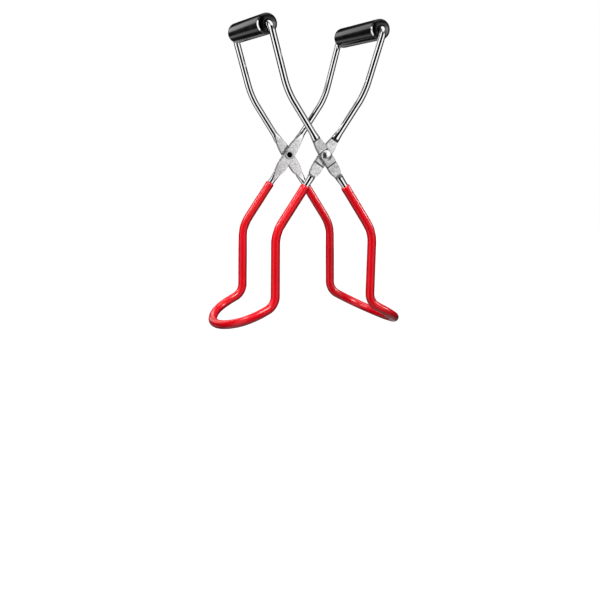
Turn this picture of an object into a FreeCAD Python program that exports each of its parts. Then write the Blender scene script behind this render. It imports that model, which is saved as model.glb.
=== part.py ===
import FreeCAD, Part
import math
import os
import Sketcher

# Jar lifter: two bent steel wire frames that cross like scissors and turn on two coaxial
# rivets. Each frame is one wire: it leaves one end of a moulded grip, runs down an upper leg,
# through a pressed plate at the rivet, down a lower leg, round a tilted jaw loop, and comes
# back up the other side into the other end of the grip.
#
# Frame of the part: millimetres, +Z up to the grips, Y along the rivets' common axis, X the
# way the jaws open. The origin is on the rivets' axis, half-way between the two rivets.
# The outer frame has its jaw on +X and its plates outboard, the inner frame is the reverse.

document = FreeCAD.newDocument("jar_lifter")
Vector = FreeCAD.Vector
Z_AXIS = Vector(0, 0, 1)
Y_AXIS = Vector(0, 1, 0)

# ---------------------------------------------------------------- driving dimensions

DIMENSIONS = [
    # wire and what covers it
    ("wire_radius", 2.38),
    ("coating_radius", 3.15),
    ("coating_start", 25.0),        # from the rivet, along the lower leg
    # pressed plates at the rivets, measured along the leg from the rivet
    ("plate_thickness", 2.2),
    ("pad_thickness", 2.6),
    ("tip_above", 18.5),
    ("tip_below", 22.0),
    ("tip_half_width", 0.9),
    ("shoulder_above", 12.2),
    ("shoulder_above_half_width", 2.9),
    ("shoulder_below", 16.0),
    ("shoulder_below_half_width", 2.6),
    ("pad_above", 3.2),
    ("pad_below", 7.2),
    ("pad_half_width", 4.0),
    ("belly_below", 12.0),
    ("belly_half_width", 3.85),
    ("flank_radius", 37.5),
    ("plate_clearance", 0.05),      # between the two plates, and under the rivet's head
    ("plate_mid_reach", 39.35),     # half-way between the two frames' wires, from the XZ plane
    # rivets
    ("rivet_radius", 2.38),
    ("rivet_clearance", 0.05),
    ("head_radius", 3.75),
    ("head_rim", 0.35),
    ("head_height", 1.9),
    ("tail_radius", 3.35),
    ("tail_height", 0.95),
    ("tail_bevel", 0.35),
    ("tail_bore_radius", 1.95),
    ("tail_bore_depth", 3.4),
    # grips
    ("grip_radius", 7.2),
    ("grip_half_length", 36.0),
    ("grip_rim_radius", 2.2),
    ("bore_radius", 2.46),
    ("bore_bottom", 10.0),          # from the middle of the grip
    ("bore_mouth_radius", 3.2),
    ("bore_mouth_depth", 0.8),
    ("wire_end", 12.0),             # from the middle of the grip
    # route of the wire, at the centre of its section
    ("grip_offset", 41.2),
    ("grip_level", 86.9),
    ("handle_reach", 41.3),
    ("end_bend_radius", 5.3),
    ("upper_bend_offset", 28.4),
    ("upper_bend_level", 42.3),
    ("upper_bend_radius", 58.0),
    ("knee_offset", 35.2),
    ("knee_depth", 52.8),
    ("knee_radius", 25.0),
    ("bottom_depth", 102.6),
    ("bottom_bend_radius", 11.0),
    # jaw loop, in its own tilted plane
    ("loop_tilt", 27.4),            # degrees below level
    ("loop_half_width", 38.4),
    ("loop_length", 35.4),
    ("loop_shoulder_radius", 22.0),
    ("loop_end_radius", 51.0),
]

sheet = document.addObject("Spreadsheet::Sheet", "sizes")
for row, (alias, value) in enumerate(DIMENSIONS, start=1):
    sheet.set("A%d" % row, alias)
    sheet.set("B%d" % row, str(value))
    sheet.setAlias("B%d" % row, alias)
document.recompute()


def size(alias):
    """The number in the sheet's cell of that alias."""
    return float(sheet.get(alias))


# A term is a sum of sheet cells, as (factor, alias) pairs; an empty one is zero.

def number(term):
    return sum(factor * size(alias) for factor, alias in term)


def formula(term):
    return " + ".join("%g * sizes.%s" % pair for pair in term)


# ---------------------------------------------------------------- sketches and bodies

def origin_plane(body, role):
    return next(item for item in body.Origin.OriginFeatures if item.Role == role)


def pin_coordinate(sketch, side, kind, term):
    """Holds the start of one side on an axis, or at a distance from it bound to the sheet."""
    if not term:
        axis = -2 if kind == "DistanceX" else -1
        sketch.addConstraint(Sketcher.Constraint("PointOnObject", side, 1, axis))
        return
    index = sketch.addConstraint(Sketcher.Constraint(kind, -1, 1, side, 1, number(term)))
    sketch.setExpression("Constraints[%d]" % index, formula(term))


def bulged_arc(start, end, radius):
    """The short arc of that radius from start to end that bulges to the right of the way."""
    chord = end - start
    outward = Vector(chord.y, -chord.x, 0)
    outward.normalize()
    rise = radius - math.sqrt(radius ** 2 - (chord.Length / 2) ** 2)
    middle = (start + end) * 0.5 + outward * rise
    return Part.Arc(start, middle, end)


def radius_about_axis(start, end):
    """The radius of the arc through both points whose centre is on the sketch's Y axis."""
    centre_y = (start.Length ** 2 - end.Length ** 2) / (2 * (start.y - end.y))
    return math.hypot(start.x, start.y - centre_y)


def closed_outline(body, role, corners, arcs=None):
    """A sketch on one of the body's own planes: straight sides between the corners, and an
    arc on each side that arcs lists, either of the named radius or, where that is None,
    centred on the sketch's Y axis. The corners run anticlockwise."""
    arcs = arcs or {}
    sketch = body.newObject("Sketcher::SketchObject", body.Name + "_outline")
    sketch.AttachmentSupport = (origin_plane(body, role), "")
    sketch.MapMode = "FlatFace"
    points = [Vector(number(x), number(y), 0) for x, y in corners]
    count = len(points)
    for side, start in enumerate(points):
        end = points[(side + 1) % count]
        if side not in arcs:
            sketch.addGeometry(Part.LineSegment(start, end))
            continue
        alias = arcs[side]
        radius = size(alias) if alias else radius_about_axis(start, end)
        sketch.addGeometry(bulged_arc(start, end, radius))
    for side in range(count):
        sketch.addConstraint(Sketcher.Constraint("Coincident", side, 2, (side + 1) % count, 1))
    for side, (x, y) in enumerate(corners):
        pin_coordinate(sketch, side, "DistanceX", x)
        pin_coordinate(sketch, side, "DistanceY", y)
    for side, alias in arcs.items():
        if alias:
            constraint = Sketcher.Constraint("Radius", side, size(alias))
            index = sketch.addConstraint(constraint)
            sketch.setExpression("Constraints[%d]" % index, "sizes." + alias)
        else:
            sketch.addConstraint(Sketcher.Constraint("PointOnObject", side, 3, -2))
    return sketch


def padded(body, sketch, alias, reverse):
    pad = body.newObject("PartDesign::Pad", body.Name + "_pad")
    pad.Profile = sketch
    pad.setExpression("Length", "sizes." + alias)
    pad.Reversed = reverse
    document.recompute()
    return pad


def turned(body, sketch):
    """The sketch's half section, turned about the Y axis."""
    solid = body.newObject("PartDesign::Revolution", body.Name + "_turned")
    solid.Profile = sketch
    solid.ReferenceAxis = (sketch, ["V_Axis"])
    solid.Angle = 360
    document.recompute()
    return solid


# ---------------------------------------------------------------- route of the wire

def mirrored(points):
    """The points again in reverse, on the other side of the XZ plane."""
    return [Vector(point.x, -point.y, point.z) for point in reversed(points)]


def jaw_corners(side):
    """Corners and radii of the near half of the jaw loop, and the loop's end corner."""
    tilt = math.radians(size("loop_tilt"))
    half_width = size("loop_half_width")
    shoulder = size("loop_shoulder_radius")
    end = size("loop_end_radius")
    across = half_width - shoulder
    between_centres = end - shoulder
    turn = math.asin(across / between_centres)
    end_centre = size("loop_length") - end
    shoulder_centre = end_centre + between_centres * math.cos(turn)
    shoulder_corner = shoulder_centre + shoulder * math.tan((math.pi / 2 - turn) / 2)
    end_corner = end_centre + end / math.cos(turn)

    def on_loop(reach, y):
        return Vector(side * (size("knee_offset") + reach * math.cos(tilt)), y,
                      -size("bottom_depth") - reach * math.sin(tilt))

    near = [(on_loop(0, -half_width), size("bottom_bend_radius")),
            (on_loop(shoulder_corner, -half_width), shoulder)]
    return near, (on_loop(end_corner, 0), end)


def route_round_jaw(start_corners, side, reach):
    """Points and radii from the near start, round the jaw loop and back on the far side."""
    knee = Vector(side * size("knee_offset"), -reach, -size("knee_depth"))
    loop_corners, (loop_end, end_radius) = jaw_corners(side)
    corners = start_corners + [(knee, size("knee_radius"))] + loop_corners
    points = [point for point, radius in corners]
    radii = [radius for point, radius in corners[1:]]
    return points + [loop_end] + mirrored(points), radii + [end_radius] + radii[::-1]


def frame_route(side, reach):
    """The frame's wire: side is +1 when its jaw is on +X, reach is its plates' distance."""
    grip_x = -side * size("grip_offset")
    bend_x = -side * size("upper_bend_offset")
    corners = [(Vector(grip_x, -size("wire_end"), size("grip_level")), 0),
               (Vector(grip_x, -size("handle_reach"), size("grip_level")),
                size("end_bend_radius")),
               (Vector(bend_x, -reach, size("upper_bend_level")), size("upper_bend_radius"))]
    return route_round_jaw(corners, side, reach)


def coating_route(side, reach):
    """The part of the frame's wire that the jaw coating covers."""
    top = Vector(side * size("knee_offset"), 0, -size("knee_depth"))
    top.normalize()
    top *= size("coating_start")
    return route_round_jaw([(Vector(top.x, -reach, top.z), 0)], side, reach)


def rounded_wire(points, radii):
    """Straight runs between the points, joined by tangent arcs of the given radii."""
    edges = []
    start = points[0]
    for before, corner, after, radius in zip(points, points[1:], points[2:], radii):
        back = (before - corner).normalize()
        ahead = (after - corner).normalize()
        half_angle = back.getAngle(ahead) / 2
        trim = radius / math.tan(half_angle)
        inward = (back + ahead).normalize()
        middle = corner + inward * (radius / math.sin(half_angle) - radius)
        edges.append(Part.LineSegment(start, corner + back * trim).toShape())
        edges.append(Part.Arc(corner + back * trim, middle, corner + ahead * trim).toShape())
        start = corner + ahead * trim
    edges.append(Part.LineSegment(start, points[-1]).toShape())
    return Part.Wire(edges)


def swept(name, route, radius_alias):
    """A round rod along the route, as a sweep whose section is bound to the sheet."""
    path = document.addObject("Part::Feature", name + "_path")
    path.Shape = rounded_wire(*route)
    section = document.addObject("Part::Circle", name + "_section")
    section.setExpression("Radius", "sizes." + radius_alias)
    direction = route[0][1] - route[0][0]
    section.Placement = FreeCAD.Placement(route[0][0], FreeCAD.Rotation(Z_AXIS, direction))
    rod = document.addObject("Part::Sweep", name)
    rod.Sections = [section]
    rod.Spine = (path, ["Edge%d" % (i + 1) for i in range(len(path.Shape.Edges))])
    rod.Solid = True
    rod.Frenet = False
    document.recompute()
    expected = math.pi * size(radius_alias) ** 2 * path.Shape.Length
    if abs(rod.Shape.Volume / expected - 1) > 0.005:
        raise RuntimeError("%s has the wrong volume" % name)
    return rod


# ---------------------------------------------------------------- frames

def leg_placement(side, y):
    """On the rivets' axis, with the local Z along the leg, up towards the grip."""
    lean = math.degrees(math.atan2(size("upper_bend_offset"), size("upper_bend_level")))
    return FreeCAD.Placement(Vector(0, y, 0), FreeCAD.Rotation(Y_AXIS, -side * lean))


def pressed_plate(name, side, inner_face, far):
    """The flattened leaf at one rivet, with its thicker pad. The leaf's tips run out inside
    the round wire, and its inner face is level with the wire's inner side."""
    leaf = document.addObject("PartDesign::Body", name)
    right = [("shoulder_below_half_width", -1, "shoulder_below"),
             ("belly_half_width", -1, "belly_below"),
             ("pad_half_width", -1, "pad_below"),
             ("pad_half_width", 1, "pad_above"),
             ("shoulder_above_half_width", 1, "shoulder_above"),
             ("tip_half_width", 1, "tip_above")]
    right = [("tip_half_width", -1, "tip_below")] + right
    corners = [([(1, width)], [(sign, level)]) for width, sign, level in right]
    corners += [([(-1, width)], [(sign, level)]) for width, sign, level in reversed(right)]
    flanks = {4: "flank_radius", 8: "flank_radius"}
    outline = closed_outline(leaf, "XZ_Plane", corners, flanks)
    padded(leaf, outline, "plate_thickness", far)
    pad_corners = [([(1, "pad_half_width")], [(-1, "pad_below")]),
                   ([(1, "pad_half_width")], [(1, "pad_above")]),
                   ([(-1, "pad_half_width")], [(1, "pad_above")]),
                   ([(-1, "pad_half_width")], [(-1, "pad_below")])]
    padded(leaf, closed_outline(leaf, "XZ_Plane", pad_corners), "pad_thickness", far)
    leaf.Placement = leg_placement(side, inner_face if far else -inner_face)
    return leaf


def press_tool(name, side, inner_face, far):
    """The block of wire that the press takes away outboard of one plate."""
    block = document.addObject("Part::Box", name)
    block.setExpression("Length", "4 * sizes.wire_radius")
    block.setExpression("Width", "4 * sizes.wire_radius")
    block.setExpression("Height", "sizes.shoulder_above + sizes.shoulder_below")
    outward = 1 if far else -1
    y = outward * (inner_face + size("plate_thickness"))
    if not far:
        y -= 4 * size("wire_radius")
    corner = Vector(-2 * size("wire_radius"), 0, -size("shoulder_below"))
    block.Placement = leg_placement(side, y).multiply(FreeCAD.Placement(corner, FreeCAD.Rotation()))
    return block


def wire_frame(label, side, reach, hole_term):
    """One frame: the swept wire, pressed flat at both rivets, with a hole for each."""
    inner_face = reach - size("wire_radius")
    rod = swept(label + "_wire", frame_route(side, reach), "wire_radius")
    blocks = document.addObject("Part::MultiFuse", label + "_press")
    blocks.Shapes = [press_tool("%s_block_%d" % (label, far), side, inner_face, far)
                     for far in (False, True)]
    flattened = document.addObject("Part::Cut", label + "_flattened")
    flattened.Base = rod
    flattened.Tool = blocks
    joined = document.addObject("Part::MultiFuse", label + "_joined")
    joined.Shapes = [flattened] + [pressed_plate("%s_plate_%d" % (label, far), side,
                                                 inner_face, far)
                                   for far in (False, True)]
    drill = document.addObject("Part::Cylinder", label + "_drill")
    drill.setExpression("Radius", formula(hole_term))
    drill.setExpression("Height", "4 * sizes.plate_mid_reach")
    drill.Placement = FreeCAD.Placement(Vector(0, -2 * size("plate_mid_reach"), 0),
                                        FreeCAD.Rotation(Z_AXIS, Y_AXIS))
    frame = document.addObject("Part::Cut", label)
    frame.Base = joined
    frame.Tool = drill
    return frame


def jaw_coating(label, side, reach):
    """The vinyl tube over the lower legs and the jaw loop of one frame."""
    route = coating_route(side, reach)
    coating = document.addObject("Part::Cut", label)
    coating.Base = swept(label + "_outside", route, "coating_radius")
    coating.Tool = swept(label + "_inside", route, "wire_radius")
    return coating


# ---------------------------------------------------------------- grips and rivets

def grip(label, side):
    """A moulded cylinder with a blind bore in each end for the wire's two ends."""
    body = document.addObject("PartDesign::Body", label)
    end = [(1, "grip_half_length")]
    mouth = [(1, "grip_half_length"), (-1, "bore_mouth_depth")]
    bottom = [(1, "bore_bottom")]
    upper = [([(1, "grip_radius")], end), ([(1, "bore_mouth_radius")], end),
             ([(1, "bore_radius")], mouth), ([(1, "bore_radius")], bottom), ([], bottom)]
    lower = [(x, [(-factor, alias) for factor, alias in y]) for x, y in reversed(upper)]
    solid = turned(body, closed_outline(body, "XY_Plane", upper + lower))
    rims = [index for index, edge in enumerate(solid.Shape.Edges, start=1)
            if abs(edge.BoundBox.YMin) > size("grip_half_length") - 0.01
            and abs(edge.BoundBox.YMax) > size("grip_half_length") - 0.01
            and edge.BoundBox.XMax > size("grip_radius") - 0.01
            and edge.BoundBox.YLength < 0.01]
    rounding = body.newObject("PartDesign::Fillet", label + "_rims")
    rounding.Base = (solid, ["Edge%d" % index for index in rims])
    rounding.setExpression("Radius", "sizes.grip_rim_radius")
    body.Tip = rounding
    body.Placement = FreeCAD.Placement(Vector(-side * size("grip_offset"), 0, size("grip_level")),
                                       FreeCAD.Rotation())
    return body


def rivet(label, far):
    """A rivet with a domed head outboard and a hollow tail rolled over inboard."""
    body = document.addObject("PartDesign::Body", label)
    tail_tip = TAIL_SEAT + [(-1, "tail_height")]
    crown = HEAD_SEAT + [(1, "head_height")]
    half_section = [([], tail_tip + [(1, "tail_bore_depth")]),
                    ([(1, "tail_bore_radius")], tail_tip + [(1, "tail_bore_depth")]),
                    ([(1, "tail_bore_radius")], tail_tip),
                    ([(1, "tail_radius"), (-1, "tail_bevel")], tail_tip),
                    ([(1, "tail_radius")], tail_tip + [(1, "tail_bevel")]),
                    ([(1, "tail_radius")], TAIL_SEAT),
                    ([(1, "rivet_radius")], TAIL_SEAT),
                    ([(1, "rivet_radius")], HEAD_SEAT),
                    ([(1, "head_radius")], HEAD_SEAT),
                    ([(1, "head_radius")], HEAD_SEAT + [(1, "head_rim")]),
                    ([], crown)]
    turned(body, closed_outline(body, "XY_Plane", half_section, {9: None}))
    body.Placement = FreeCAD.Placement(Vector(), FreeCAD.Rotation(Z_AXIS, 0 if far else 180))
    return body


# ---------------------------------------------------------------- assembly

# Distances from the XZ plane: the centre of each frame's wire at its plates, and the faces
# that a rivet's head and tail bear on. The inner frame's plates lie inboard of the outer's.
OUTER_REACH = [(1, "plate_mid_reach"), (0.5, "pad_thickness"), (0.5, "plate_clearance")]
INNER_REACH = [(1, "plate_mid_reach"), (-0.5, "pad_thickness"), (-0.5, "plate_clearance")]
HEAD_SEAT = OUTER_REACH + [(-1, "wire_radius"), (1, "pad_thickness"), (1, "plate_clearance")]
TAIL_SEAT = INNER_REACH + [(-1, "wire_radius")]

LOOSE_HOLE = [(1, "rivet_radius"), (1, "rivet_clearance")]
TIGHT_HOLE = [(1, "rivet_radius")]

pieces = [
    wire_frame("outer_frame", 1, number(OUTER_REACH), LOOSE_HOLE),
    wire_frame("inner_frame", -1, number(INNER_REACH), TIGHT_HOLE),
    jaw_coating("outer_jaw_coating", 1, number(OUTER_REACH)),
    jaw_coating("inner_jaw_coating", -1, number(INNER_REACH)),
    grip("outer_grip", 1),
    grip("inner_grip", -1),
    rivet("front_rivet", False),
    rivet("rear_rivet", True),
]
document.recompute()

failed = [item.Name for item in document.Objects
          if "Invalid" in item.State or "Error" in item.State]
if failed:
    raise RuntimeError("failed objects: " + ", ".join(failed))

os.makedirs("parts", exist_ok=True)
for piece in pieces:
    if piece.Shape.isNull() or not piece.Shape.isValid() or len(piece.Shape.Solids) != 1:
        raise RuntimeError("%s is not one valid solid" % piece.Label)
for piece in pieces:
    piece.Shape.exportStep("parts/%s.step" % piece.Label)
    box = piece.Shape.BoundBox
    print("%-18s volume %9.1f  x %7.2f %7.2f  y %7.2f %7.2f  z %8.2f %7.2f" % (
        piece.Label, piece.Shape.Volume, box.XMin, box.XMax, box.YMin, box.YMax,
        box.ZMin, box.ZMax))
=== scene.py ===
import math

import bpy
from mathutils import Matrix, Vector


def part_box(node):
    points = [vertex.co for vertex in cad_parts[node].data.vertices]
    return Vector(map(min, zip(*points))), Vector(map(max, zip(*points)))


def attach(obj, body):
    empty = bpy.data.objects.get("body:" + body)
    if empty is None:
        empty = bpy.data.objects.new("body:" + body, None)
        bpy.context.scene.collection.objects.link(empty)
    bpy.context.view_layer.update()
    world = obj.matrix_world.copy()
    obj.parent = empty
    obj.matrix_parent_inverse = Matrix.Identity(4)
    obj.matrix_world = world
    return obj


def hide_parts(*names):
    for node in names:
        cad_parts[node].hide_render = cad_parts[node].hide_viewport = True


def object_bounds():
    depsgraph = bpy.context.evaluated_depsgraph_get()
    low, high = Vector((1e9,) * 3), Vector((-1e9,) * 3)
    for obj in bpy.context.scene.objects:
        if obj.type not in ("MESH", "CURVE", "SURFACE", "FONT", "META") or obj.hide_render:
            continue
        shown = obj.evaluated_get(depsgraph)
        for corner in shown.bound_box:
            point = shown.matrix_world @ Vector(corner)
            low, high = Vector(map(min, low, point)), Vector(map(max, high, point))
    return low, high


# The looks of a jar lifter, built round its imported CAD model. Every node is stood for by a
# finer piece in the same place: wire frames whose round section flows into pressed plates,
# dipped jaw coatings with soft lips, moulded grips, and rivets with domed heads and rolled
# tails. Lengths are in metres; MM turns a length in millimetres into one.

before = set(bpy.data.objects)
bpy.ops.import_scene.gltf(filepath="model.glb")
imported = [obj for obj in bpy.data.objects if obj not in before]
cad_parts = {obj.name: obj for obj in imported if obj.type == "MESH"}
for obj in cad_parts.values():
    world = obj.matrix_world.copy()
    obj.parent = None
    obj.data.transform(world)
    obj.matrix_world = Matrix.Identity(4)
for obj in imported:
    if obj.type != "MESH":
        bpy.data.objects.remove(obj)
cad_low, cad_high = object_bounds()
MM = 0.001

# ---------------------------------------------------------------- driving dimensions

WIRE_RADIUS = 2.38 * MM
PLATE_THICKNESS = 2.2 * MM
PAD_THICKNESS = 2.6 * MM
PLATE_CLEARANCE = 0.05 * MM
PLATE_MID_REACH = 39.35 * MM
RIVET_RADIUS = 2.38 * MM
HOLE_CLEARANCE = 0.05 * MM

# Along the leg from the rivet, up positive, and the plate's half width there.
PLATE_OUTLINE = [(-16.0 * MM, 2.6 * MM), (-14.4 * MM, 3.3 * MM), (-12.0 * MM, 3.88 * MM),
                 (-9.6 * MM, 4.02 * MM), (-2.0 * MM, 4.02 * MM), (3.2 * MM, 4.0 * MM),
                 (7.7 * MM, 3.76 * MM), (12.2 * MM, 2.9 * MM)]
LEAF_TIP_ABOVE = 19.5 * MM
LEAF_TIP_BELOW = -23.0 * MM
PAD_ABOVE = 3.2 * MM
PAD_BELOW = -7.2 * MM
SHOULDER_RUN_ABOVE = 1.1 * MM
SHOULDER_RUN_BELOW = 1.5 * MM
PAD_GROOVE_DEPTH = 0.25 * MM
PAD_GROOVE_HALF = 0.32 * MM
PAD_STEP_RUN = 0.16 * MM
CREASE_REACH = 0.8 * MM

HANDLE_REACH = 41.3 * MM
END_BEND_RADIUS = 5.3 * MM
UPPER_BEND = Vector((28.4, 0, 42.3)) * MM
UPPER_BEND_RADIUS = 58.0 * MM
KNEE = Vector((35.2, 0, -52.8)) * MM
KNEE_RADIUS = 25.0 * MM
BOTTOM_DEPTH = 102.6 * MM
BOTTOM_BEND_RADIUS = 11.0 * MM
LOOP_TILT = math.radians(27.4)
LOOP_HALF_WIDTH = 38.4 * MM
LOOP_LENGTH = 35.4 * MM
LOOP_SHOULDER_RADIUS = 22.0 * MM
LOOP_END_RADIUS = 51.0 * MM
WIRE_END = 12.0 * MM

COATING_RADIUS = 3.15 * MM
COATING_START = 25.0 * MM
# The lip's length, and the place, run and height of the roll behind it.
LIP_LENGTH = 1.1 * MM
ROLL_PLACE = 2.2 * MM
ROLL_RUN = 1.6 * MM
ROLL_HEIGHT = 0.07 * MM
# The coating's uneven thickness: each wave's height, length for one radian, and phase.
COATING_WAVES = [(0.030 * MM, 17 * MM, 0.6), (0.018 * MM, 6.3 * MM, 2.1)]
# A tight bore is wider than what it holds by this factor, so that no two faces coincide.
SNUG = 1.002

GRIP_RIM_RADIUS = 2.2 * MM
GRIP_BORE_RADIUS = 2.46 * MM
GRIP_BORE_BOTTOM = 10.0 * MM
GRIP_MOUTH_RADIUS = 3.2 * MM
GRIP_MOUTH_DEPTH = 0.8 * MM
GRIP_END_DROP = 0.55 * MM
GRIP_BORE_CORNER = 0.3 * MM
GRIP_MOUTH_CORNER = 0.35 * MM
MOULD_LINE_HEIGHT = 0.02 * MM

TAIL_RADIUS = 3.35 * MM
TAIL_BORE_RADIUS = 1.95 * MM
TAIL_BORE_DEPTH = 3.4 * MM
TAIL_BORE_CORNER = 0.5 * MM
TAIL_MOUTH_CORNER = 0.42 * MM
TAIL_ROLL = 0.5 * MM
TAIL_SEAT_CORNER = 0.15 * MM
HEAD_RIM = 0.35 * MM
HEAD_RIM_CORNER = 0.12 * MM

# How far apart the meshes' stations are along the wire, and how finely they go round.
PLATE_STEP = 0.4 * MM
SHOULDER_STEP = 0.08 * MM
RUN_STEP = 4.0 * MM
LIP_STEP = 0.12 * MM
LIP_REACH = 6 * MM
ARC_STEP = math.radians(2.5)
SECTION_POINTS = 48
DRILL_SIDES = 64
GRIP_SEGMENTS = 128
RIVET_SEGMENTS = 64
DOME_STEPS = 16
CORNER_STEPS = 8
# Shorter than this counts as nothing.
TINY = 1e-7

# Edges sharper than these angles, in degrees, are shaded as edges.
WIRE_SHARP = 35
COATING_SHARP = 50
TURNED_SHARP = 40
BACKDROP_SHARP = 60

# Powers of the sections' outlines: 2 is round, and a higher one is squarer.
ROUND = 2
PLATE_SQUARENESS = 9
LEAF_SQUARENESS = 7

# Distances from the middle plane: of each frame's wire, and of the faces that the rivets grip.
OUTER_REACH = PLATE_MID_REACH + (PAD_THICKNESS + PLATE_CLEARANCE) / 2
INNER_REACH = PLATE_MID_REACH - (PAD_THICKNESS + PLATE_CLEARANCE) / 2
HEAD_SEAT = OUTER_REACH - WIRE_RADIUS + PAD_THICKNESS + PLATE_CLEARANCE
TAIL_SEAT = INNER_REACH - WIRE_RADIUS


# ---------------------------------------------------------------- small helpers

def smooth(value):
    """0 below 0, 1 above 1, and an even S between."""
    value = min(max(value, 0.0), 1.0)
    return value * value * (3 - 2 * value)


def mix(a, b, share):
    return a + (b - a) * share


def between(table, x):
    """Smooth interpolation in a table of (x, y) points, level beyond its ends."""
    if x <= table[0][0]:
        return table[0][1]
    for i in range(len(table) - 1):
        (x0, y0), (x1, y1) = table[i], table[i + 1]
        if x <= x1:
            slope0 = slope_at(table, i)
            slope1 = slope_at(table, i + 1)
            span = x1 - x0
            t = (x - x0) / span
            return ((2 * t ** 3 - 3 * t ** 2 + 1) * y0 + (t ** 3 - 2 * t ** 2 + t) * span * slope0
                    + (3 * t ** 2 - 2 * t ** 3) * y1 + (t ** 3 - t ** 2) * span * slope1)
    return table[-1][1]


def slope_at(table, i):
    low = max(i - 1, 0)
    high = min(i + 1, len(table) - 1)
    return (table[high][1] - table[low][1]) / (table[high][0] - table[low][0])


def box_centre(node):
    low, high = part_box(node)
    return (Vector(low) + Vector(high)) / 2


def make_object(name, mesh, body, node):
    piece = bpy.data.objects.new(name, mesh)
    bpy.context.scene.collection.objects.link(piece)
    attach(piece, body)
    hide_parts(node)
    return piece


def finish_mesh(mesh, sharp_degrees):
    mesh.validate()
    for polygon in mesh.polygons:
        polygon.use_smooth = True
    mesh.set_sharp_from_angle(angle=math.radians(sharp_degrees))
    mesh.update()


# ---------------------------------------------------------------- route of the wire

def loop_corners(side):
    """Corners and bend radii of the near half of the jaw loop, up to its end corner."""
    between_centres = LOOP_END_RADIUS - LOOP_SHOULDER_RADIUS
    turn = math.asin((LOOP_HALF_WIDTH - LOOP_SHOULDER_RADIUS) / between_centres)
    end_centre = LOOP_LENGTH - LOOP_END_RADIUS
    shoulder_corner = (end_centre + between_centres * math.cos(turn)
                       + LOOP_SHOULDER_RADIUS * math.tan((math.pi / 2 - turn) / 2))
    end_corner = end_centre + LOOP_END_RADIUS / math.cos(turn)

    def on_loop(reach, y):
        return Vector((side * (KNEE.x + reach * math.cos(LOOP_TILT)), y,
                       -BOTTOM_DEPTH - reach * math.sin(LOOP_TILT)))

    return [(on_loop(0, -LOOP_HALF_WIDTH), BOTTOM_BEND_RADIUS),
            (on_loop(shoulder_corner, -LOOP_HALF_WIDTH), LOOP_SHOULDER_RADIUS),
            (on_loop(end_corner, 0), LOOP_END_RADIUS)]


def near_corners(side, reach, grip_centre):
    """Corners and bend radii of one frame's near half, from inside the grip to the loop."""
    handle = Vector((grip_centre.x, -HANDLE_REACH, grip_centre.z))
    upper = Vector((-side * UPPER_BEND.x, -reach, UPPER_BEND.z))
    knee = Vector((side * KNEE.x, -reach, KNEE.z))
    return [(Vector((grip_centre.x, -WIRE_END, grip_centre.z)), 0),
            (handle, END_BEND_RADIUS), (upper, UPPER_BEND_RADIUS),
            (knee, KNEE_RADIUS)] + loop_corners(side)


def line_samples(start, end, step):
    """Points from start to just before end."""
    count = max(1, math.ceil((end - start).length / step))
    return [start.lerp(end, i / count) for i in range(count)]


def arc_samples(before, corner, after, radius, steps=None):
    """The tangent arc's points at a corner, both ends included. Without steps, their number
    comes from ARC_STEP."""
    back = (before - corner).normalized()
    ahead = (after - corner).normalized()
    half_angle = back.angle(ahead) / 2
    centre = corner + (back + ahead).normalized() * (radius / math.sin(half_angle))
    trim = radius / math.tan(half_angle)
    first = corner + back * trim - centre
    last = corner + ahead * trim - centre
    swing = first.angle(last)
    count = steps or max(2, math.ceil(swing / ARC_STEP))
    points = []
    for i in range(count + 1):
        share = i / count
        weight_first = math.sin((1 - share) * swing) / math.sin(swing)
        weight_last = math.sin(share * swing) / math.sin(swing)
        points.append(centre + first * weight_first + last * weight_last)
    return points


def leg_samples(start, end, crossing):
    """Points down a straight leg from start to just before end: close together at the
    shoulders and the pad's edges, fairly close over the leaf, and wide apart elsewhere.
    crossing is the rivet axis's place on it."""
    down = (end - start).normalized()
    first = (start - crossing).dot(down)
    last = (end - crossing).dot(down)
    creases = [-PLATE_OUTLINE[-1][0], -PLATE_OUTLINE[0][0], -PAD_ABOVE, -PAD_BELOW]
    points = []
    at = first
    while at < last - SHOULDER_STEP:
        points.append(crossing + down * at)
        step = RUN_STEP
        if -LEAF_TIP_ABOVE - RUN_STEP < at < -LEAF_TIP_BELOW:
            step = PLATE_STEP
        for crease in creases:
            if crease - CREASE_REACH - step < at < crease + CREASE_REACH:
                step = SHOULDER_STEP
        at += step
    return points


def half_route(corners, crossing):
    """Points of the near half, closer together on the leg that holds the plate. crossing is
    the rivet axis's place on that leg."""
    points = []
    start = corners[0][0]
    for i in range(1, len(corners) - 1):
        corner, radius = corners[i]
        arc = arc_samples(corners[i - 1][0], corner, corners[i + 1][0], radius)
        if start.z > 0 > arc[0].z:
            points += leg_samples(start, arc[0], crossing)
        else:
            points += line_samples(start, arc[0], RUN_STEP)
        points += arc[:-1]
        start = arc[-1]
    corner, radius = corners[-1]
    before = corners[-2][0]
    opposite = Vector((before.x, -before.y, before.z))
    arc = arc_samples(before, corner, opposite, radius)
    points += line_samples(start, arc[0], RUN_STEP)
    points += arc[:len(arc) // 2 + 1]
    return points


class Ring:
    """One station of the wire: its place, its outboard and across directions, its distance
    along the wire, and its distance up the leg from the rivet."""

    def __init__(self, place, outboard, across, along, up_leg):
        self.place = place
        self.outboard = outboard
        self.across = across
        self.along = along
        self.up_leg = up_leg

    def mirrored(self, total):
        """The same station of the far half, on a wire of this total length."""
        flip = Vector((1, -1, 1))
        return Ring(self.place * flip, self.outboard * flip, self.across * flip,
                    total - self.along, self.up_leg)

    def towards(self, other, share):
        """The station a share of the way to another."""
        return Ring(self.place.lerp(other.place, share),
                    self.outboard.lerp(other.outboard, share).normalized(),
                    self.across.lerp(other.across, share).normalized(),
                    mix(self.along, other.along, share), mix(self.up_leg, other.up_leg, share))


def leg_direction(side):
    """Up the straight leg that holds the plate."""
    return Vector((-side * UPPER_BEND.x, 0, UPPER_BEND.z)).normalized()


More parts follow.
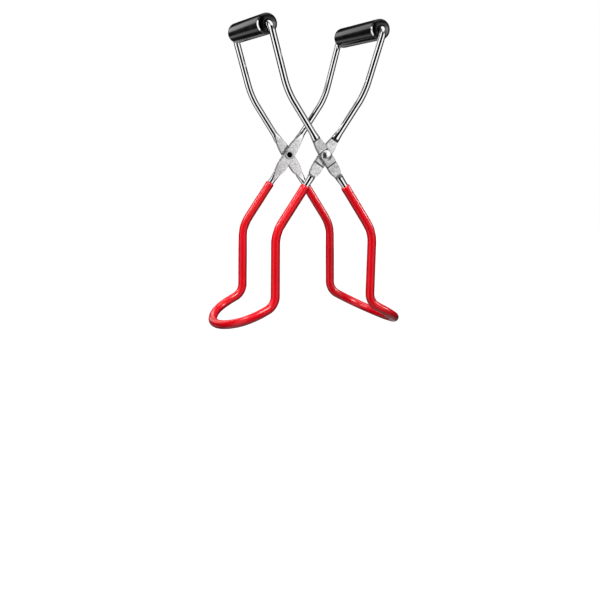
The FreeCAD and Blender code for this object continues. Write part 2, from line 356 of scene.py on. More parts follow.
def whole_route(side, reach, grip_centre):
    """Rings from one end of the wire to the other. The far half mirrors the near half."""
    corners = near_corners(side, reach, grip_centre)
    points = half_route(corners, Vector((0, -reach, 0)))
    middle = points[-1].copy()
    middle.y = 0
    points[-1] = middle
    tangents = []
    for i, point in enumerate(points):
        ahead = points[min(i + 1, len(points) - 1)]
        behind = points[max(i - 1, 0)]
        tangents.append((ahead - behind).normalized())
    tangents[-1] = Vector((0, 1, 0))
    start = min(range(len(points)), key=lambda i: abs(points[i].z) + abs(points[i].x))
    outboards = [None] * len(points)
    outboards[start] = Vector((0, -1, 0))
    for order in (range(start + 1, len(points)), range(start - 1, -1, -1)):
        last = start
        for i in order:
            turn = tangents[last].rotation_difference(tangents[i])
            carried = turn @ outboards[last]
            outboards[i] = (carried - tangents[i] * carried.dot(tangents[i])).normalized()
            last = i
    up = leg_direction(side)
    rings = []
    along = 0.0
    for i, point in enumerate(points):
        if i:
            along += (point - points[i - 1]).length
        across = tangents[i].cross(outboards[i])
        rings.append(Ring(point, outboards[i], across, along, point.dot(up)))
    return rings + [ring.mirrored(2 * along) for ring in reversed(rings[:-1])]


# ---------------------------------------------------------------- swept meshes

def tube_mesh(name, loops, alongs, closed=False):
    """A skin over rings of points. Its UVs are lengths in metres: along, and round."""
    count = len(loops[0])
    vertices = [point for loop in loops for point in loop]
    faces = []
    uvs = []
    circumference = 2 * math.pi * WIRE_RADIUS
    last = len(loops) if closed else len(loops) - 1
    for i in range(last):
        j = (i + 1) % len(loops)
        for k in range(count):
            n = (k + 1) % count
            faces.append((i * count + k, i * count + n, j * count + n, j * count + k))
            around = (k / count * circumference, (k + 1) / count * circumference)
            uvs += [(alongs[i], around[0]), (alongs[i], around[1]),
                    (alongs[j], around[1]), (alongs[j], around[0])]
    if not closed:
        faces.append(tuple(reversed(range(count))))
        faces.append(tuple(range((len(loops) - 1) * count, len(loops) * count)))
        uvs += [(0, 0)] * (2 * count)
    mesh = bpy.data.meshes.new(name)
    mesh.from_pydata(vertices, [], faces)
    layer = mesh.uv_layers.new(name="along_round")
    for item, uv in zip(layer.data, uvs):
        item.uv = uv
    return mesh


def half_oval(angle, half_width, height, power):
    """A point of one half of a section: a half circle at power 2, squarer above."""
    c = math.cos(angle)
    d = math.sin(angle)
    x = math.copysign(abs(c) ** (2 / power), c) * half_width
    y = math.copysign(abs(d) ** (2 / power), d) * height
    return x, y


def section_points(half_width, middle, outer_height, outer_power, inner_height, inner_power):
    """A closed section as (across, outboard) pairs, from two halves on a common mid line."""
    points = []
    for k in range(SECTION_POINTS):
        angle = 2 * math.pi * (k + 0.5) / SECTION_POINTS
        outer = angle < math.pi
        height = outer_height if outer else inner_height
        x, y = half_oval(angle, half_width, height, outer_power if outer else inner_power)
        points.append((x, middle + y))
    return points


def pad_groove(up_leg):
    """How far into the fine groove at the foot of the pad's step, 0 to 1."""
    below = (up_leg - PAD_BELOW + 0.5 * PAD_GROOVE_HALF) / PAD_GROOVE_HALF
    above = (up_leg - PAD_ABOVE - 0.5 * PAD_GROOVE_HALF) / PAD_GROOVE_HALF
    return math.exp(-below ** 2) + math.exp(-above ** 2)


def plate_section(up_leg):
    """The pressed leaf, with its pad a little thicker outboard."""
    in_pad = min(smooth((up_leg - PAD_BELOW) / PAD_STEP_RUN),
                 smooth((PAD_ABOVE - up_leg) / PAD_STEP_RUN))
    thickness = mix(PLATE_THICKNESS, PAD_THICKNESS, in_pad)
    thickness -= PAD_GROOVE_DEPTH * pad_groove(up_leg)
    middle = PLATE_THICKNESS / 2 - WIRE_RADIUS
    return section_points(between(PLATE_OUTLINE, up_leg), middle,
                          thickness - PLATE_THICKNESS / 2, PLATE_SQUARENESS,
                          PLATE_THICKNESS / 2, PLATE_SQUARENESS)


def leaf_tip_section(up_leg):
    """Round outboard; inboard the leaf's flat dies away into the round wire."""
    if up_leg > 0:
        fade = (LEAF_TIP_ABOVE - up_leg) / (LEAF_TIP_ABOVE - PLATE_OUTLINE[-1][0])
    else:
        fade = (up_leg - LEAF_TIP_BELOW) / (PLATE_OUTLINE[0][0] - LEAF_TIP_BELOW)
    flatness = smooth(fade)
    plate_end = PLATE_OUTLINE[-1][1] if up_leg > 0 else PLATE_OUTLINE[0][1]
    width = mix(WIRE_RADIUS, plate_end, flatness)
    return section_points(width, 0, WIRE_RADIUS, ROUND,
                          WIRE_RADIUS, mix(ROUND, LEAF_SQUARENESS, flatness))


def beyond_plate(up_leg):
    """How far past the plate's end, as a share of the shoulder there."""
    low = PLATE_OUTLINE[0][0]
    high = PLATE_OUTLINE[-1][0]
    if up_leg > high:
        return (up_leg - high) / SHOULDER_RUN_ABOVE
    return (low - up_leg) / SHOULDER_RUN_BELOW


def wire_section(up_leg, on_leg):
    """The wire's section at one station: round, or part of the pressed plate."""
    low = PLATE_OUTLINE[0][0]
    high = PLATE_OUTLINE[-1][0]
    if not on_leg or up_leg > LEAF_TIP_ABOVE or up_leg < LEAF_TIP_BELOW:
        return section_points(WIRE_RADIUS, 0, WIRE_RADIUS, ROUND, WIRE_RADIUS, ROUND)
    if low <= up_leg <= high:
        return plate_section(up_leg)
    rise = smooth(beyond_plate(up_leg))
    tip = leaf_tip_section(up_leg)
    if rise >= 1:
        return tip
    plate = plate_section(min(max(up_leg, low), high))
    return [(mix(a[0], b[0], rise), mix(a[1], b[1], rise)) for a, b in zip(plate, tip)]


def place_section(ring, section):
    return [ring.place + ring.across * x + ring.outboard * y for x, y in section]


def cut_rivet_holes(piece, radius):
    """Drills both plates along the rivets' axis."""
    drill_mesh = bpy.data.meshes.new("drill")
    reach = 3 * PLATE_MID_REACH
    sides = DRILL_SIDES
    angles = [2 * math.pi * k / sides for k in range(sides)]
    vertices = [(radius * math.cos(angle), y, radius * math.sin(angle))
                for y in (-reach, reach) for angle in angles]
    faces = [(k, sides + k, sides + (k + 1) % sides, (k + 1) % sides) for k in range(sides)]
    faces += [tuple(range(sides)), tuple(reversed(range(sides, 2 * sides)))]
    drill_mesh.from_pydata(vertices, [], faces)
    drill = bpy.data.objects.new("drill", drill_mesh)
    bpy.context.scene.collection.objects.link(drill)
    cutter = piece.modifiers.new("holes", "BOOLEAN")
    cutter.object = drill
    cutter.operation = "DIFFERENCE"
    cutter.solver = "EXACT"
    graph = bpy.context.evaluated_depsgraph_get()
    cut = bpy.data.meshes.new_from_object(piece.evaluated_get(graph))
    piece.modifiers.remove(cutter)
    old = piece.data
    piece.data = cut
    bpy.data.meshes.remove(old)
    bpy.data.objects.remove(drill)
    bpy.data.meshes.remove(drill_mesh)


# The pressed share on a plate's edges, and how much of a turn that lower share takes to rise.
EDGE_SATIN = 0.45
EDGE_TURN = 0.03
# How dark the painted shade in the crease at the lower shoulder is, beside the upper one's 1,
# and how far out of the plate both of them fade, in shoulder lengths.
LOWER_CREASE_SHADE = 0.72
CREASE_SHADE_FADE = 1.8


def pressed_share(up_leg, on_leg, turn):
    """How satin the surface is: 1 on the plate's faces, dying away over the leaf's tips
    inboard. turn is the way round the section, 0 to 1, with the outboard half first."""
    if not on_leg:
        return 0.0
    low = PLATE_OUTLINE[0][0]
    high = PLATE_OUTLINE[-1][0]
    if low <= up_leg <= high:
        edge = min(turn % 0.5, 0.5 - turn % 0.5)
        return mix(EDGE_SATIN, 1.0, smooth(edge / EDGE_TURN))
    if turn < 0.5:
        return 0.0
    if up_leg > high:
        return smooth((LEAF_TIP_ABOVE - up_leg) / (LEAF_TIP_ABOVE - high))
    return smooth((up_leg - LEAF_TIP_BELOW) / (low - LEAF_TIP_BELOW))


def crease_shade_share(up_leg, on_leg, turn):
    """How much painted shade a point gets in the creases, as a share: the shoulders' feet and
    the groove round the pad, on the outboard side."""
    if not on_leg or turn > 0.5:
        return 0.0
    if PLATE_OUTLINE[0][0] <= up_leg <= PLATE_OUTLINE[-1][0]:
        return min(1.0, pad_groove(up_leg))
    deep = 1.0 if up_leg > 0 else LOWER_CREASE_SHADE
    return deep * smooth(CREASE_SHADE_FADE - beyond_plate(up_leg))


def build_wire_frame(name, side, reach, body, hole_radius, material):
    """A bent wire with its two pressed plates, drilled for the rivets."""
    rings = whole_route(side, reach, box_centre(name.replace("frame", "grip")))
    loops = []
    shares = []
    creases = []
    turns = [(k + 0.5) / SECTION_POINTS for k in range(SECTION_POINTS)]
    for ring in rings:
        on_leg = KNEE.z < ring.place.z < UPPER_BEND.z and abs(ring.place.x) < KNEE.x
        loops.append(place_section(ring, wire_section(ring.up_leg, on_leg)))
        shares += [pressed_share(ring.up_leg, on_leg, turn) for turn in turns]
        # Each point's share of the painted shade in the creases.
        creases += [crease_shade_share(ring.up_leg, on_leg, turn) for turn in turns]
    mesh = tube_mesh(name + "_wire", loops, [ring.along for ring in rings])
    # Painted shade: the outer frame's plates get a grayer tint on their outboard faces.
    outer_faces = [1.0 if reach == OUTER_REACH and turn < 0.5 else 0.0 for turn in turns]
    plate_shade = outer_faces * len(rings)
    for label, values in (("pressed", shares), ("crease", creases), ("plate_shade", plate_shade)):
        layer = mesh.attributes.new(label, "FLOAT", "POINT")
        for item, value in zip(layer.data, values):
            item.value = value
    mesh.materials.append(material)
    piece = make_object(name + "_wire", mesh, body, name)
    cut_rivet_holes(piece, hole_radius)
    finish_mesh(piece.data, WIRE_SHARP)


def coating_radius_at(from_lip, to_far_lip):
    """The dipped skin's radius: a soft lip, a slight roll behind it, and uneven thickness."""
    end = min(from_lip, to_far_lip)
    wall = COATING_RADIUS - WIRE_RADIUS
    rise = 1.0
    if end < LIP_LENGTH:
        rise = math.sqrt(max(0.0, 1 - (1 - end / LIP_LENGTH) ** 2))
    roll = ROLL_HEIGHT * math.exp(-((end - ROLL_PLACE) / ROLL_RUN) ** 2)
    waves = sum(height * math.sin(from_lip / length + phase)
                for height, length, phase in COATING_WAVES)
    return WIRE_RADIUS + wall * rise + (roll + waves) * smooth(end / LIP_LENGTH)


def lip_rings(rings):
    """The coated part of the wire, with rings close together at its two lips."""
    coated = [ring for ring in rings if ring.up_leg <= -COATING_START]
    before = rings[rings.index(coated[0]) - 1]
    share = (-COATING_START - before.up_leg) / (coated[0].up_leg - before.up_leg)
    start = before.towards(coated[0], share)
    coated = [start] + coated
    fine = []
    for a, b in zip(coated, coated[1:]):
        fine.append(a)
        middle = (a.along + b.along) / 2
        from_lip = min(middle - start.along, rings[-1].along - start.along - middle)
        step = LIP_STEP if from_lip < LIP_REACH else RUN_STEP
        count = math.ceil((b.along - a.along) / step)
        fine += [a.towards(b, k / count) for k in range(1, count)]
    total = rings[-1].along
    middle_along = total / 2
    near = [ring for ring in fine if ring.along < middle_along - TINY]
    bottom = min(coated, key=lambda ring: abs(ring.along - middle_along))
    return near + [bottom] + [ring.mirrored(total) for ring in reversed(near)]


def build_coating(name, side, reach, body, material):
    """The red skin of a jaw: a tube with a wall, snug on the wire."""
    rings = lip_rings(whole_route(side, reach, box_centre(name.replace("jaw_coating", "grip"))))
    first = rings[0].along
    last = rings[-1].along
    circle = [2 * math.pi * (k + 0.5) / SECTION_POINTS for k in range(SECTION_POINTS)]

    def round_loop(ring, radius):
        return place_section(ring, [(radius * math.cos(a), radius * math.sin(a))
                                    for a in circle])

    outer = [round_loop(ring, coating_radius_at(ring.along - first, last - ring.along))
             for ring in rings]
    inner = [round_loop(ring, WIRE_RADIUS * SNUG) for ring in rings]
    loops = outer + inner[::-1]
    alongs = [ring.along for ring in rings] + [ring.along for ring in reversed(rings)]
    mesh = tube_mesh(name + "_vinyl", loops, alongs, closed=True)
    mesh.materials.append(material)
    piece = make_object(name + "_vinyl", mesh, body, name)
    finish_mesh(piece.data, COATING_SHARP)
    return piece


# ---------------------------------------------------------------- turned meshes

def rounded(profile, radii):
    """The profile with each corner that has a radius replaced by a tangent arc. The profile
    is (distance along the axis, distance from it); radii gives one figure per corner."""
    corners = [Vector(corner) for corner in profile]
    points = []
    for i, corner in enumerate(corners):
        if radii[i]:
            points += arc_samples(corners[i - 1], corner, corners[i + 1], radii[i],
                                  CORNER_STEPS)
        else:
            points.append(corner)
    return points


def turned_mesh(name, profile, centre, segments, ridge=0.0):
    """The profile turned about the line through centre along Y. Points on the axis are
    single vertices. The ridge stands out along two mould lines, above and below."""
    vertices = []
    rings = []
    for along, away in profile:
        if away < TINY:
            rings.append([len(vertices)])
            vertices.append((centre.x, centre.y + along, centre.z))
            continue
        ring = []
        for k in range(segments):
            angle = 2 * math.pi * k / segments
            lift = ridge if k % (segments // 2) == 0 else 0.0
            ring.append(len(vertices))
            vertices.append((centre.x + (away + lift) * math.sin(angle), centre.y + along,
                             centre.z + (away + lift) * math.cos(angle)))
        rings.append(ring)
    faces = []
    for a, b in zip(rings, rings[1:]):
        for k in range(segments):
            n = (k + 1) % segments
            if len(a) == 1:
                faces.append((a[0], b[n], b[k]))
            elif len(b) == 1:
                faces.append((a[k], a[n], b[0]))
            else:
                faces.append((a[k], a[n], b[n], b[k]))
    mesh = bpy.data.meshes.new(name)
    mesh.from_pydata(vertices, [], faces)
    return mesh


def build_grip(name, body, material):
    """A moulded cylinder with soft rims and a blind bore in each end."""
    low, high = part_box(name)
    centre = (Vector(low) + Vector(high)) / 2
    half = (high[1] - low[1]) / 2
    radius = (high[2] - low[2]) / 2
    end = [(GRIP_BORE_BOTTOM, 0), (GRIP_BORE_BOTTOM, GRIP_BORE_RADIUS),
           (half - GRIP_MOUTH_DEPTH, GRIP_BORE_RADIUS), (half, GRIP_MOUTH_RADIUS),
           (half - GRIP_END_DROP, radius), (0, radius)]
    corner_radii = [0, 0, GRIP_BORE_CORNER, GRIP_MOUTH_CORNER, GRIP_RIM_RADIUS, 0]
    half_profile = rounded(end, corner_radii)
    profile = half_profile + [Vector((-p.x, p.y)) for p in reversed(half_profile[:-1])]
    profile = profile[::-1]
    mesh = turned_mesh(name + "_moulding", profile, centre, GRIP_SEGMENTS, MOULD_LINE_HEIGHT)
    mesh.materials.append(material)
    piece = make_object(name + "_moulding", mesh, body, name)
    finish_mesh(piece.data, TURNED_SHARP)
    return piece


def build_rivet(name, body, material):
    """A domed head outboard and a hollow tail rolled over inboard."""
    low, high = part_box(name)
    far = high[1] > 0
    crown = high[1] if far else -low[1]
    tip = low[1] if far else -high[1]
    head_radius = (high[2] - low[2]) / 2
    bore_top = tip + TAIL_BORE_DEPTH
    rise = crown - HEAD_SEAT - HEAD_RIM
    sphere = (head_radius ** 2 + rise ** 2) / (2 * rise)
    limit = math.asin(head_radius / sphere)
    dome = []
    for k in range(DOME_STEPS + 1):
        angle = limit * (1 - k / DOME_STEPS)
        dome.append((crown - sphere * (1 - math.cos(angle)), sphere * math.sin(angle)))
    lower = [(bore_top, 0), (bore_top, TAIL_BORE_RADIUS), (tip, TAIL_BORE_RADIUS),
             (tip, TAIL_RADIUS), (TAIL_SEAT, TAIL_RADIUS), (TAIL_SEAT, RIVET_RADIUS),
             (HEAD_SEAT, RIVET_RADIUS), (HEAD_SEAT, head_radius), dome[0]]
    radii = [0, TAIL_BORE_CORNER, TAIL_MOUTH_CORNER, TAIL_ROLL, TAIL_SEAT_CORNER, 0, 0,
             HEAD_RIM_CORNER, 0]
    profile = rounded(lower, radii) + [Vector(point) for point in dome[1:]]
    if not far:
        profile = [Vector((-p.x, p.y)) for p in reversed(profile)]
    mesh = turned_mesh(name + "_metal", profile, Vector((0, 0, 0)), RIVET_SEGMENTS)
    mesh.materials.append(material)
    piece = make_object(name + "_metal", mesh, body, name)
    finish_mesh(piece.data, TURNED_SHARP)
    return piece


# ---------------------------------------------------------------- materials

class Graph:
    """A material's node tree, with short calls for what the materials here share."""

    def __init__(self, name):
        self.material = bpy.data.materials.new(name)
        self.material.use_nodes = True
        self.tree = self.material.node_tree
        self.shader = self.tree.nodes["Principled BSDF"]

    def node(self, kind, **settings):
        made = self.tree.nodes.new(kind)
        for key, value in settings.items():
            if key in made.inputs:
                made.inputs[key].default_value = value
            else:
                setattr(made, key, value)
        return made

    def link(self, source, target):
        self.tree.links.new(source, target)

    def set(self, **values):
        for key, value in values.items():
            self.shader.inputs[key.replace("_", " ")].default_value = value

    def attribute(self, name):
        return self.node("ShaderNodeAttribute", attribute_name=name).outputs["Fac"]

    def coordinates(self, output="Object", scale=(1, 1, 1)):
        source = self.node("ShaderNodeTexCoord")
        mapping = self.node("ShaderNodeMapping", Scale=scale)
        self.link(source.outputs[output], mapping.inputs["Vector"])
        return mapping.outputs["Vector"]

    def noise(self, vector, scale, detail=3.0, roughness=0.55):
        made = self.node("ShaderNodeTexNoise", Scale=scale, Detail=detail, Roughness=roughness)
        self.link(vector, made.inputs["Vector"])
        return made.outputs["Fac"]

    def remap(self, value, low, high, to_low, to_high):
        made = self.node("ShaderNodeMapRange")
        for key, number in zip(("From Min", "From Max", "To Min", "To Max"),
                               (low, high, to_low, to_high)):
            made.inputs[key].default_value = number
        self.link(value, made.inputs["Value"])
        return made.outputs["Result"]

    def add(self, a, b):
        made = self.node("ShaderNodeMath", operation="ADD")
        self.link(a, made.inputs[0])
        self.link(b, made.inputs[1])
        return made.outputs[0]

    def scale(self, value, factor):
        made = self.node("ShaderNodeMath", operation="MULTIPLY")
        self.link(value, made.inputs[0])
        if isinstance(factor, float):
            made.inputs[1].default_value = factor
        else:
            self.link(factor, made.inputs[1])
        return made.outputs[0]

    def blend(self, share, first, second, kind="FLOAT"):
        """A blend of two numbers, or of two colours, each a socket or three plain figures."""
        made = self.node("ShaderNodeMix", data_type=kind)
        inputs = [item for item in made.inputs if item.enabled]
        self.link(share, inputs[0])
        for socket, value in zip(inputs[1:], (first, second)):
            if isinstance(value, tuple):
                socket.default_value = (*value, 1)
            else:
                self.link(value, socket)
        return next(item for item in made.outputs if item.enabled)

    def blend_colours(self, share, first, second):
        return self.blend(share, first, second, "RGBA")

    def bump(self, height, distance, below=None):
        made = self.node("ShaderNodeBump", Strength=1.0, Distance=distance)
        self.link(height, made.inputs["Height"])
        if below is not None:
            self.link(below, made.inputs["Normal"])
        return made.outputs["Normal"]


def wire_material():
    """Plated wire: mirror-bright with faint drawing lines and dull smudges, satin with a fine
    pressed grain where the die flattened it, and painted shade in two places: near-black in
    the creases, and a grayer tint on the outer frame's plates' outboard faces."""
    g = Graph("chromed_wire")
    g.set(Metallic=1.0)
    pressed = g.attribute("pressed")
    along = g.coordinates("UV", (40, 4200, 1))
    lines = g.noise(along, 1.0, 2.0)
    place = g.coordinates()
    smudge = g.noise(place, 160, 4.0)
    sway = g.noise(place, 45, 1.0)
    bright = g.add(g.remap(smudge, 0.4, 0.8, 0.02, 0.07), g.remap(lines, 0.35, 0.7, 0, 0.02))
    grain = g.noise(place, 1100, 5.0, 0.75)
    blotch = g.noise(place, 650, 3.0)
    satin = g.add(g.remap(grain, 0.3, 0.7, 0.27, 0.40), g.remap(blotch, 0.3, 0.7, -0.03, 0.05))
    g.link(g.blend(pressed, bright, satin), g.shader.inputs["Roughness"])
    bright_tint = g.blend_colours(g.remap(smudge, 0.4, 0.85, 0, 1), (0.93, 0.935, 0.94),
                                  (0.82, 0.825, 0.83))
    speckle = g.add(g.scale(grain, 0.6), g.scale(blotch, 0.4))
    fleck = g.remap(speckle, 0.42, 0.58, 0, 1)
    satin_tint = g.blend_colours(fleck, (0.92, 0.92, 0.925), (0.66, 0.66, 0.665))
    # Painted shade: a grayer tint for the outer frame's outboard plate faces.
    shaded_plate_tint = g.blend_colours(fleck, (0.76, 0.76, 0.765), (0.50, 0.50, 0.505))
    plate_tint = g.blend_colours(g.attribute("plate_shade"), satin_tint, shaded_plate_tint)
    clean = g.blend_colours(pressed, bright_tint, plate_tint)
    # Painted shade: the creases are tinted near-black.
    g.link(g.blend_colours(g.attribute("crease"), clean, (0.05, 0.05, 0.05)),
           g.shader.inputs["Base Color"])
    wave = g.bump(sway, 0.06 * MM)
    pressed_bump = g.scale(g.add(g.scale(grain, 0.25), blotch), pressed)
    g.link(g.bump(pressed_bump, 0.03 * MM, wave), g.shader.inputs["Normal"])
    return g.material


def vinyl_material():
    """Glossy dipped vinyl: saturated red, with a soft dipped ripple under its shine."""
    g = Graph("jaw_vinyl")
    g.set(IOR=1.46, Specular_IOR_Level=0.42)
    place = g.coordinates()
    ripple = g.noise(place, 140, 2.0)
    peel = g.noise(place, 1300, 2.0)
    cloud = g.noise(place, 55, 3.0)
    colour = g.blend_colours(g.remap(cloud, 0.3, 0.7, 0, 1), (0.80, 0.002, 0.012),
                             (0.70, 0.001, 0.008))
    g.link(colour, g.shader.inputs["Base Color"])
    g.link(g.remap(ripple, 0.3, 0.7, 0.22, 0.28), g.shader.inputs["Roughness"])
    normal = g.bump(ripple, 0.012 * MM)
    g.link(g.bump(peel, 0.0003 * MM, normal), g.shader.inputs["Normal"])
    return g.material


def grip_material():
    """Black moulded plastic with a polished skin, fine handling scratches and a little dust."""
    g = Graph("grip_plastic")
    g.set(IOR=1.5)
    round_lines = g.coordinates("Object", (700, 40, 700))
    scratches = g.noise(round_lines, 1.0, 5.0, 0.7)
    place = g.coordinates()
    wear = g.noise(place, 120, 4.0)
    ripple = g.noise(place, 90, 1.0)
    colour = g.blend_colours(g.remap(wear, 0.4, 0.8, 0, 1), (0.0010, 0.0010, 0.0011),
                             (0.003, 0.003, 0.0033))
    g.link(colour, g.shader.inputs["Base Color"])
    roughness = g.add(g.remap(wear, 0.35, 0.8, 0.10, 0.18), g.remap(scratches, 0.45, 0.8, 0, 0.06))
    g.link(roughness, g.shader.inputs["Roughness"])
    g.link(g.bump(ripple, 0.05 * MM), g.shader.inputs["Normal"])
    return g.material


def rivet_material():
    """Bright steel with faint rings from the rolling tool, dull down in the bore, where painted
    shade also tints it near-black.
    """
    g = Graph("rivet_steel")
    g.set(Metallic=1.0)
    source = g.node("ShaderNodeTexCoord")
    parts = g.node("ShaderNodeSeparateXYZ")
    g.link(source.outputs["Object"], parts.inputs[0])
    flat = g.node("ShaderNodeCombineXYZ")
    g.link(parts.outputs["X"], flat.inputs["X"])
    g.link(parts.outputs["Z"], flat.inputs["Z"])
    length = g.node("ShaderNodeVectorMath", operation="LENGTH")
    g.link(flat.outputs[0], length.inputs[0])
    from_axis = length.outputs["Value"]
    reach = g.node("ShaderNodeMath", operation="ABSOLUTE")
    g.link(parts.outputs["Y"], reach.inputs[0])
    # Inside the bore: duller, and painted shade that tints it near-black.
    inside = g.scale(
        g.remap(from_axis, TAIL_BORE_RADIUS, TAIL_BORE_RADIUS + 0.15 * MM, 1, 0),
        g.remap(reach.outputs[0], HEAD_SEAT - 1.5 * MM, HEAD_SEAT - 0.5 * MM, 1, 0))
    tail = g.remap(reach.outputs[0], TAIL_SEAT, TAIL_SEAT + 1 * MM, 1, 0)
    spiral = g.node("ShaderNodeCombineXYZ")
    g.link(from_axis, spiral.inputs["X"])
    rings = g.noise(spiral.outputs[0], 3800, 2.0)
    place = g.coordinates()
    wear = g.noise(place, 600, 3.0)
    polish = g.add(g.remap(rings, 0.3, 0.7, 0.22, 0.28), g.remap(wear, 0.3, 0.7, 0.0, 0.08))
    dull = g.add(polish, g.scale(tail, 0.2))
    g.link(g.add(dull, g.scale(inside, 0.4)), g.shader.inputs["Roughness"])
    tint = g.blend_colours(g.remap(wear, 0.3, 0.7, 0, 1), (0.86, 0.86, 0.87), (0.74, 0.74, 0.75))
    tail_tint = g.blend_colours(tail, tint, (0.60, 0.60, 0.61))
    # Painted shade: near-black down in the bore.
    g.link(g.blend_colours(inside, tail_tint, (0.02, 0.02, 0.02)),
           g.shader.inputs["Base Color"])
    normal = g.bump(rings, 0.004 * MM)
    g.link(g.bump(wear, 0.006 * MM, normal), g.shader.inputs["Normal"])
    return g.material


def floor_material():
    """Pale matt paper whose own glow grows with distance, so that the horizon doesn't show."""
    g = Graph("pale_floor")
    g.set(Base_Color=(0.15, 0.15, 0.15, 1), Roughness=0.9, Specular_IOR_Level=0.0,
          Emission_Color=(1, 1, 1, 1))
    source = g.node("ShaderNodeTexCoord")
    length = g.node("ShaderNodeVectorMath", operation="LENGTH")
    g.link(source.outputs["Object"], length.inputs[0])
    glow = g.remap(length.outputs["Value"], 0.25, 1.6, 0.90, 0.97)
    g.link(glow, g.shader.inputs["Emission Strength"])
    return g.material


# ---------------------------------------------------------------- studio

# Low enough for the jaws to swing past without meeting the floor.
FLOOR_DROP = 20 * MM
FLOOR_RADIUS = 2.4
FLOOR_RINGS = (0.15, 0.5)
WALL_CURVE = 1.4
WALL_HEIGHT = 3.2
WALL_STEPS = 16
BACKDROP_SEGMENTS = 96


def build_backdrop():
    """A pale round floor that curves up into a wall all round, open at the top. It neither
    shows in reflections nor lights the part."""
    level = cad_low.z - FLOOR_DROP
    profile = [(FLOOR_RADIUS * share, 0.0) for share in FLOOR_RINGS]
    for k in range(WALL_STEPS + 1):
        angle = math.pi / 2 * k / WALL_STEPS
        profile.append((FLOOR_RADIUS + WALL_CURVE * math.sin(angle),
                        WALL_CURVE * (1 - math.cos(angle))))
    profile.append((FLOOR_RADIUS + WALL_CURVE, WALL_HEIGHT))
    segments = BACKDROP_SEGMENTS
    vertices = [(0, 0, level)]
    for away, height in profile:
        for k in range(segments):
            angle = 2 * math.pi * k / segments
            vertices.append((away * math.cos(angle), away * math.sin(angle), level + height))
    faces = [(0, 1 + k, 1 + (k + 1) % segments) for k in range(segments)]
    for ring in range(len(profile) - 1):
        a = 1 + ring * segments
        b = a + segments
        for k in range(segments):
            n = (k + 1) % segments
            faces.append((a + k, b + k, b + n, a + n))
    mesh = bpy.data.meshes.new("backdrop")
    mesh.from_pydata(vertices, [], faces)
    mesh.materials.append(floor_material())
    finish_mesh(mesh, BACKDROP_SHARP)
    backdrop = bpy.data.objects.new("backdrop", mesh)
    bpy.context.scene.collection.objects.link(backdrop)
    backdrop.visible_glossy = False
    backdrop.visible_diffuse = False
    return backdrop


def area_light(name, bearing, height, distance, size, radiance, receivers, fills=True,
               shines=True):
    """A soft lamp aimed at the part, placed by its bearing and height angle in degrees. Only
    the receivers see it, as dull light if it fills and as a reflection if it shines."""
    light = bpy.data.lights.new(name, "AREA")
    light.shape = "RECTANGLE"
    light.size = size[0]
    light.size_y = size[1]
    light.energy = radiance * math.pi * size[0] * size[1]
    lamp = bpy.data.objects.new(name, light)
    level = distance * math.cos(math.radians(height))
    lamp.location = (level * math.sin(math.radians(bearing)),
                     -level * math.cos(math.radians(bearing)),
                     distance * math.sin(math.radians(height)))
    lamp.rotation_mode = "QUATERNION"
    lamp.rotation_quaternion = (-lamp.location).to_track_quat("-Z", "Y")
    lamp.light_linking.receiver_collection = receivers
    lamp.visible_camera = False
    lamp.visible_diffuse = fills
    lamp.visible_glossy = shines
    bpy.context.scene.collection.objects.link(lamp)


# Brightness of the room at each bearing, in degrees anticlockwise from above with 0 in front:
# white panels with black gaps between them, as shiny wire shows them.
PANELS = [(-180, 0.01), (-108, 0.01), (-99, 1.1), (-57, 1.12), (-50, 0.0), (7, 0.0),
          (14, 1.15), (42, 1.15), (50, 0.4), (66, 0.32), (73, 0.01), (180, 0.01)]
# The left panel stops below this height of direction, and the right one within this height
# either way. The walls beyond them are this bright.
LEFT_PANEL_TOP = 0.70
RIGHT_PANEL_REACH = 0.32
WALL = 0.15
WALL_EDGE = 0.07
# Where those walls, the space behind, the ceiling and the floor come in, as steps of a
# direction's x, y or z.
WALL_RIGHT = (0.12, 0.22)
WALL_LEFT = (-0.25, -0.45)
BEHIND = (0.7, 0.75)
CEILING = (0.72, 0.85)
GROUND = (-0.6, -0.75)
# Soft cards behind, set round the level line straight back: the bearing of each on that
# clock, in degrees from upright and right positive, its half width, and the brightness.
CARDS = [(-42, 36, 0.95), (-138, 23, 0.45), (140, 22, 0.55)]
CARD_EDGE = 20
OVERHEAD = 1.1
UNDERFOOT = 0.7
# The colours above are halved in the nodes, to keep them under 1, and this restores them.
ROOM_STRENGTH = 2.0
# The share of the room's light that dull surfaces get.
ROOM_FILL = 0.35


def bearing_ramp(tree, bearing):
    """The panels' brightness at a bearing, given as a share of a turn with 0.5 in front."""
    ramp = tree.nodes.new("ShaderNodeValToRGB")
    stops = ramp.color_ramp.elements
    while len(stops) > 1:
        stops.remove(stops[0])
    for i, (degrees, level) in enumerate(PANELS):
        stop = stops[0] if i == 0 else stops.new(degrees / 360 + 0.5)
        stop.position = degrees / 360 + 0.5
        shade = level / ROOM_STRENGTH
        stop.color = (shade, shade, shade, 1)
    tree.links.new(bearing, ramp.inputs["Fac"])
    return ramp.outputs["Color"]


